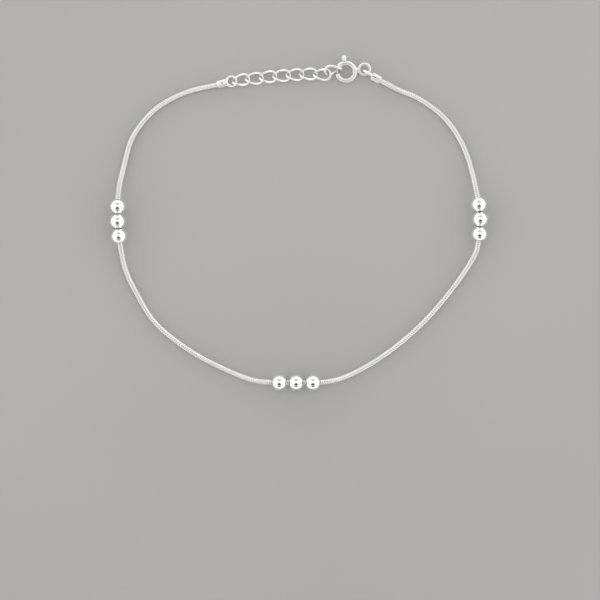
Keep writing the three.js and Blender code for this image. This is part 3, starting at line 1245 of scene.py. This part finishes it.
@dataclass
class SpringRing:
    """Spring ring clasp: a hollow ring with a bail, and a sliding wire with a knob."""

    diameter: float = 5.6
    tube: float = 1.12
    hollow: float = 0.84
    opening_from: float = 142
    opening_to: float = 194
    lip_round: float = 0.1
    bail_diameter: float = 3.4
    bail_wire: float = 0.7
    bail_reach: float = 4.65
    bail_angle: float = 7.6
    solder_foot: float = 1.5
    solder_waist: float = 1.3
    solder_flat: float = 0.57
    slide_wire: float = 0.6
    slide_from: float = 82
    slide_to: float = 205
    travel: float = 55
    knob_angle: float = 98
    knob_stem: float = 0.4
    knob_foot: float = 1.01
    knob_head: float = 1.3
    knob_gap: float = 0.1
    knob_top: float = 4.2
    slot_width: float = 0.56
    slot_margin: float = 7
    # Painted shade on the wire and stem inside the tube:
    slide_shade: float = 0.5
    slack: float = 0.02
    knob_tip: float = 0.01
    slide_tip: float = 0.05
    ring_steps: int = 110
    wire_steps: int = 48
    solder_steps: int = 9
    bell_steps: int = 7
    dome_steps: int = 10
    tip_steps: int = 6
    sides: int = 24
    wire_sides: int = 16
    ring_sharp: float = 35
    slide_sharp: float = 40

    def __post_init__(self) -> None:
        """Take the clasp's place from its hinge."""
        hinge = frame["joints"][0]
        upward = -Vector(hinge["axis"]).normalized()
        across = Vector((1, 0, 0))
        turn = Matrix((across, upward.cross(across), upward)).transposed().to_4x4()
        self.place = Matrix.Translation(Vector(hinge["pos_m"]) / MM) @ turn
        self.radius = (self.diameter - self.tube) / 2

    def radial(self, mesh: bpy.types.Mesh, angle: float) -> bpy.types.Mesh:
        """Lay a piece that stands along +Z outward at an angle round the ring.

        Args:
            mesh: mesh to turn.
            angle: angle in degrees.

        Returns:
            The same mesh.
        """
        upright = Matrix.Rotation(math.pi / 2, 4, "Y")
        mesh.transform(Matrix.Rotation(math.radians(angle), 4, "Z") @ upright)
        return mesh

    def tube_mesh(self) -> bpy.types.Mesh:
        """Tube of the ring from one lip of the opening to the other, with softened lips.

        Returns:
            The closed mesh.
        """
        start = self.opening_to
        end = 360 + self.opening_from
        soft = math.degrees(self.lip_round / self.radius)
        turns = np.concatenate([[start], np.linspace(start + soft, end - soft, self.ring_steps), [end]])
        full = circle(self.tube / 2, self.sides)
        slim = circle(self.tube / 2 - self.lip_round / 2, self.sides)
        last = len(turns) - 1
        return ring_sweep(self.radius, turns, lambda i: slim if i in (0, last) else full)

    def hollow_mesh(self) -> bpy.types.Mesh:
        """Bar that hollows the tube and runs out of both lips.

        Returns:
            The closed mesh.
        """
        overrun = (self.opening_to - self.opening_from) / 4
        end = 360 + self.opening_from + overrun
        turns = np.linspace(self.opening_to - overrun, end, self.ring_steps)
        section = circle(self.hollow / 2, self.sides)
        return ring_sweep(self.radius, turns, lambda i: section)

    def slot_mesh(self) -> bpy.types.Mesh:
        """Curved bar that cuts the slot for the knob out of the outer side.

        Returns:
            The closed mesh.
        """
        start = self.knob_angle - self.travel - self.slot_margin
        turns = np.linspace(start, self.knob_angle + self.slot_margin, self.wire_steps)
        x, y = self.tube / 2, self.slot_width / 2
        section = np.array([(-x, -y), (x, -y), (x, y), (-x, y)])
        return ring_sweep(self.diameter / 2, turns, lambda i: section)

    def bail_mesh(self) -> bpy.types.Mesh:
        """Small closed ring of wire beside the spring ring.

        Returns:
            The closed mesh.
        """
        middle = (self.bail_diameter - self.bail_wire) / 2
        section = circle(self.bail_wire / 2, self.wire_sides) + [middle, 0]
        mesh = lathe(section, self.wire_steps, True)
        turn = math.radians(self.bail_angle)
        reach = Vector((math.cos(turn), math.sin(turn), 0)) * self.bail_reach
        mesh.transform(Matrix.Translation(reach))
        return mesh

    def solder_mesh(self) -> bpy.types.Mesh:
        """Waisted stub of solder between the ring and its bail.

        Returns:
            The closed mesh.
        """
        inner = self.radius + self.tube / 4
        outer = self.bail_reach - (self.bail_diameter - self.bail_wire) / 2
        share = np.linspace(-1, 1, self.solder_steps)
        across = self.solder_waist + (self.solder_foot - self.solder_waist) * share**2
        height = (inner + outer) / 2 + share * (outer - inner) / 2
        stub = lathe(np.stack([across / 2, height], axis=1), self.sides, False)
        stub.transform(Matrix.Diagonal((self.solder_flat, 1, 1, 1)))
        return self.radial(stub, self.bail_angle)

    def knob_mesh(self) -> bpy.types.Mesh:
        """Stem and bell-shaped head of the knob.

        Returns:
            The closed mesh.
        """
        foot = self.diameter / 2 + self.knob_gap
        tall = self.knob_top - foot
        stem = [(self.knob_stem / 2, self.radius), (self.knob_stem / 2, foot)]
        flare = np.linspace(0, 1, self.bell_steps)
        bell = self.knob_foot + (self.knob_head - self.knob_foot) * np.sin(flare * math.pi / 2)
        lower = np.stack([bell / 2, foot + tall / 2 * flare], axis=1)
        swing = np.linspace(0, math.pi / 2, self.dome_steps)[1:-1]
        upper = [0, foot + tall / 2] + arc(swing) * [self.knob_head / 2, tall / 2]
        profile = np.vstack([stem, lower, upper, [(self.knob_tip, self.knob_top)]])
        return self.radial(lathe(profile, self.sides, False), self.knob_angle)

    def wire_mesh(self) -> bpy.types.Mesh:
        """Sliding wire with rounded ends.

        Returns:
            The closed mesh.
        """
        half = self.slide_wire / 2
        reach = math.degrees(half / self.radius)
        swing = np.linspace(0, math.pi / 2, self.tip_steps)
        rounded = np.maximum(np.sin(swing), self.slide_tip)
        start = self.slide_from + reach * (1 - np.cos(swing))
        end = self.slide_to - reach * (1 - np.cos(swing[::-1]))
        body = np.linspace(start[-1], end[0], self.wire_steps)[1:-1]
        turns = np.concatenate([start, body, end])
        scale = np.concatenate([rounded, np.ones(len(body)), rounded[::-1]])
        section = circle(half, self.wire_sides)
        return ring_sweep(self.radius, turns, lambda i: section * scale[i])

    def mark_ring(self, mesh: bpy.types.Mesh) -> None:
        """Paint shade into the hollow of the tube and the walls of the slot.

        Args:
            mesh: ring before it is laid down.
        """
        x, y, z = vectors(mesh.polygons, "center").T
        from_line = np.hypot(np.hypot(x, y) - self.radius, z)
        set_painted_shade(mesh, 1 - ease(from_line, self.hollow / 2, self.tube / 2 - self.slack), "FACE")

    def mark_slide(self, mesh: bpy.types.Mesh) -> None:
        """Paint shade on the wire and the stem, up to the foot of the knob.

        Args:
            mesh: slide before it is laid down.
        """
        x, y, _ = vectors(mesh.polygons, "center").T
        foot = self.diameter / 2 + self.knob_gap - self.slack
        set_painted_shade(mesh, self.slide_shade * (np.hypot(x, y) < foot), "FACE")

    def build(self, finishes: Finishes) -> None:
        """Make the ring and its slide and seat them.

        Args:
            finishes: materials of the anklet.
        """
        ring = Workpiece(self.tube_mesh())
        ring.combine(self.bail_mesh(), Join.UNION)
        ring.combine(self.solder_mesh(), Join.UNION)
        ring.combine(self.hollow_mesh(), Join.CUT)
        ring.combine(self.slot_mesh(), Join.CUT)
        self.mark_ring(ring.mesh)
        mesh = ring.turned(self.place).mesh
        finishes.seat("clasp_ring", "body", mesh, Slot.FINDING, self.ring_sharp)

        slide = Workpiece(self.wire_mesh())
        slide.combine(self.knob_mesh(), Join.UNION)
        self.mark_slide(slide.mesh)
        mesh = slide.turned(self.place).mesh
        finishes.seat("clasp_slide", "wire", mesh, Slot.FINDING, self.slide_sharp, Body.SLIDE)


@dataclass(frozen=True)
class Patch:
    """Dim patch of the light tent, placed as a polished ball of radius 1 shows it from above."""

    x: float
    y: float
    half_width: float
    half_height: float
    dark: float
    core: float

    def light(self, x: Value, y: Value) -> Value:
        """Share of the light that the patch lets through.

        Args:
            x: place across the ball.
            y: place up the ball.

        Returns:
            1 outside the patch, less towards its core.
        """
        across = (x - self.x) / self.half_width
        up = (y - self.y) / self.half_height
        return 1 - self.dark * (1 - (across * across + up * up).step(self.core, 1.0))


@dataclass
class Studio:
    """Pale floor, a soft light tent and a camera straight above."""

    floor_across: float = 6.0
    view_x: float = 0.375
    view_y: float = -19.36
    view_across: float = 150.0
    view_plane: float = 1.0
    camera_height: float = 600.0
    sensor: float = 36.0
    tent_light: float = 1.12
    low_wall: float = 1.2
    nadir: float = 0.001
    tent_tint: Colour = (1.0, 0.99, 0.98, 1)
    slit: Patch = Patch(0.0, 0.0, 0.16, 0.85, 0.14, 0.0)
    lens: Patch = Patch(0.0, -0.16, 0.2, 0.13, 0.98, 0.4)
    brim: Patch = Patch(0.0, -0.23, 0.3, 0.1, 0.95, 0.4)
    stand: Patch = Patch(0.02, -0.48, 0.14, 0.09, 0.95, 0.35)
    apron: Patch = Patch(0.0, -0.47, 0.44, 0.24, 0.46, 0.25)
    bar: Patch = Patch(0.0, 0.37, 0.5, 0.21, 0.44, 0.0)

    def build(self) -> None:
        """Set up floor, light and camera."""
        self.floor()
        self.tent()
        self.camera()
        bpy.context.scene.view_settings.view_transform = "Standard"

    def floor(self) -> None:
        """Lay the floor under the anklet."""
        half = self.floor_across / 2
        corners = [(-half, -half, 0), (half, -half, 0), (half, half, 0), (-half, half, 0)]
        mesh = bpy.data.meshes.new("floor")
        mesh.from_pydata(corners, [], [(0, 1, 2, 3)])
        mesh.materials.append(BoardFinish().material())
        floor = add_object("floor", mesh)

    def tent(self) -> None:
        """Light the scene from a white tent with a dark lens and a few dim patches overhead."""
        world = bpy.data.worlds.new("light_tent")
        world.use_nodes = True
        graph = Graph(world.node_tree)
        x, y, z = graph.parts(graph.node("ShaderNodeTexCoord").outputs["Generated"])
        spread = (2 * (1 + z) + self.nadir) ** 0.5
        light = self.tent_light * (1 + self.low_wall * (1 - z) ** 3)
        for patch in (self.slit, self.lens, self.brim, self.stand, self.apron, self.bar):
            light = light * patch.light(x / spread, y / spread)
        shader = graph.node("ShaderNodeBackground", None, {"Color": self.tent_tint, "Strength": light})
        graph.node("ShaderNodeOutputWorld", None, {"Surface": shader.outputs[0]})
        bpy.context.scene.world = world

    def camera(self) -> None:
        """Look straight down on the anklet, with the far side of the loop at the top."""
        lens = bpy.data.cameras.new("camera")
        lens.sensor_width = self.sensor
        lens.lens = self.sensor * (self.camera_height - self.view_plane) / self.view_across
        lens.clip_start = MM
        camera = add_object("camera", lens)
        camera.location = Vector((self.view_x, self.view_y, self.camera_height)) * MM
        bpy.context.scene.camera = camera


STATIONS = {
    "left_cap_hole": (-18.25, 34.95),
    "left_cap_mouth": (-20.3, 34.45),
    "left_brow": (-28.5, 32.43),
    "left_shoulder": (-36, 28.15),
    "left_temple": (-41.4, 21.5),
    "left_cheek": (-43.5, 14.65),
    "left_above_beads": (-44.8, 8.4),
    "left_beads": (-45.15, 0.25),
    "left_below_beads": (-44.3, -6.9),
    "left_ribs": (-43.05, -12.35),
    "left_waist": (-40.55, -17.6),
    "left_hip": (-35.95, -24.9),
    "left_flank": (-27.05, -32.1),
    "left_foot": (-16.8, -37.4),
    "left_heel": (-11.35, -39.4),
    "bottom_left_of_beads": (-8.45, -39.8),
    "bottom_beads": (-0.6, -39.97),
    "bottom_right_of_beads": (7.4, -39.7),
    "right_foot": (12.6, -38.2),
    "right_flank": (21.7, -32.95),
    "right_hip": (30.6, -25.55),
    "right_waist": (38.25, -16.85),
    "right_ribs": (43.15, -9.7),
    "right_below_beads": (44.5, -6.8),
    "right_beads": (45.35, 0.8),
    "right_above_beads": (44.25, 8.6),
    "right_temple": (41.6, 18.2),
    "right_shoulder": (36.9, 25.75),
    "right_brow": (30.1, 31),
    "right_crown": (24.8, 33.25),
    "right_cap_mouth": (20.49, 35.46),
    "right_cap_hole": (18.87, 36.32),
}

LINK_POSES = (
    LinkPose(-14.45, 35.6, 12, 0, -25),
    LinkPose(-11.05, 36.0, 4, 0, -20),
    LinkPose(-7.65, 36.4, 6, 0, -20),
    LinkPose(-4.25, 36.7, 4, 0, -20),
    LinkPose(-0.9, 36.95, 3, 0, -20),
    LinkPose(2.45, 37.12, 2, 0, -20),
    LinkPose(5.9, 36.99, -4, -9, -21),
    LinkPose(8.68, 38.1, 6, 9, 57),
)


def main() -> None:
    """Build the anklet and its studio."""
    logging.basicConfig(level=logging.INFO, format="%(name)s: %(message)s")
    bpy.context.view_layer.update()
    finishes = Finishes()
    route = ChainRoute(STATIONS, lying=SnakeChain.across / 2)
    held = (
        BeadGroup("left", "left_beads", spacing=3.7, route=route),
        BeadGroup("bottom", "bottom_beads", spacing=4.2, route=route),
        BeadGroup("right", "right_beads", spacing=3.7, route=route),
        EndCap("left_end_cap", "left_cap_mouth", "left_cap_hole", height=0.925, roll=0, route=route),
        EndCap("right_end_cap", "right_cap_mouth", "right_cap_hole", height=1.45, roll=90, route=route),
    )
    route.lifts.extend(part.lift() for part in held)

    Studio().build()
    SnakeChain(route).build(finishes)
    for part in (*held, Extender(LINK_POSES), SpringRing()):
        part.build(finishes)


if __name__ == "__main__":
    main()
